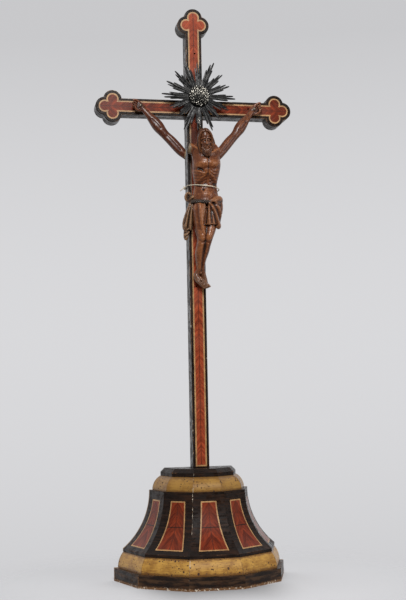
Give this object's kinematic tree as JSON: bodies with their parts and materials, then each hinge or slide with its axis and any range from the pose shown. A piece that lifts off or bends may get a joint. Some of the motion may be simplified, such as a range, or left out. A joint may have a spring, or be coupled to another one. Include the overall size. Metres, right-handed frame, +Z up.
{
  "type": "standing crucifix",
  "caption": "Standing crucifix with an inlaid trefoil-ended cross that lifts out of a faceted bell-shaped base, a carved figure and a glory of rays.",
  "frame": {"origin": "under the middle of the object's box, on the surface it stands on", "axes": "+Z up, the front faces -Y, +X to the right as seen from the front"},
  "size_m": [0.306, 0.1286, 0.87],
  "materials": {
    "ebonised_wood": "black stained wood with worn edges, semi-gloss",
    "red_veneer": "red figured veneer, satin",
    "pale_stringing": "pale wood stringing, satin",
    "ochre_wood": "ochre painted wood with insect holes, satin",
    "raw_pine": "bare softwood",
    "carved_wood": "varnished brown carved wood, gloss on the high points",
    "tarnished_silvering": "dark tarnished silvered metal",
    "brass_fixing": "dull brass",
    "iron": "dark forged iron",
    "twine": "off-white twisted twine"
  },
  "bodies": {
    "base": {"base_board": "raw_pine", "back_board": "raw_pine", "socket_block": "raw_pine", "cap": "ebonised_wood", "plinth_facing_far_left": "ebonised_wood", "plinth_facing_left": "ebonised_wood", "plinth_facing_front": "ebonised_wood", "plinth_facing_right": "ebonised_wood", "plinth_facing_far_right": "ebonised_wood", "lower_moulding_far_left": "ochre_wood", "lower_moulding_left": "ochre_wood", "lower_moulding_front": "ochre_wood", "lower_moulding_right": "ochre_wood", "lower_moulding_far_right": "ochre_wood", "bell_stave_far_left": "ebonised_wood", "bell_stave_left": "ebonised_wood", "bell_stave_front": "ebonised_wood", "bell_stave_right": "ebonised_wood", "bell_stave_far_right": "ebonised_wood", "bell_panel_far_left": "red_veneer", "bell_panel_left": "red_veneer", "bell_panel_front": "red_veneer", "bell_panel_right": "red_veneer", "bell_panel_far_right": "red_veneer", "bell_stringing_far_left": "pale_stringing", "bell_stringing_left": "pale_stringing", "bell_stringing_front": "pale_stringing", "bell_stringing_right": "pale_stringing", "bell_stringing_far_right": "pale_stringing", "upper_moulding_far_left": "ochre_wood", "upper_moulding_left": "ochre_wood", "upper_moulding_front": "ochre_wood", "upper_moulding_right": "ochre_wood", "upper_moulding_far_right": "ochre_wood"},
    "cross": {"upright": "ebonised_wood", "crossbar": "ebonised_wood", "cross_panel_left": "red_veneer", "cross_panel_right": "red_veneer", "cross_panel_upper": "red_veneer", "cross_panel_lower": "red_veneer", "cross_stringing_left": "pale_stringing", "cross_stringing_right": "pale_stringing", "cross_stringing_upper": "pale_stringing", "cross_stringing_lower": "pale_stringing", "nimbus_collar": "ebonised_wood", "corpus_body": "carved_wood", "left_arm": "carved_wood", "right_arm": "carved_wood", "right_shoulder_dowel": "raw_pine", "loincloth_drape": "carved_wood", "hand_nails": "iron", "waist_string": "twine"},
    "nimbus": {"nimbus_rays": "tarnished_silvering", "nimbus_boss": "tarnished_silvering", "nimbus_stud": "brass_fixing", "nimbus_nut": "brass_fixing"}
  },
  "joints": [
    {"name": "cross_lift", "type": "slide", "parent": "base", "child": "cross", "axis": [0, 0, 1], "range_m": [0, 0.064]},
    {"name": "nimbus_turn", "type": "hinge", "parent": "cross", "child": "nimbus", "pos_m": [0.004, 0.02282, 0.7277], "axis": [0, -1, 0], "continuous": true}
  ]
}
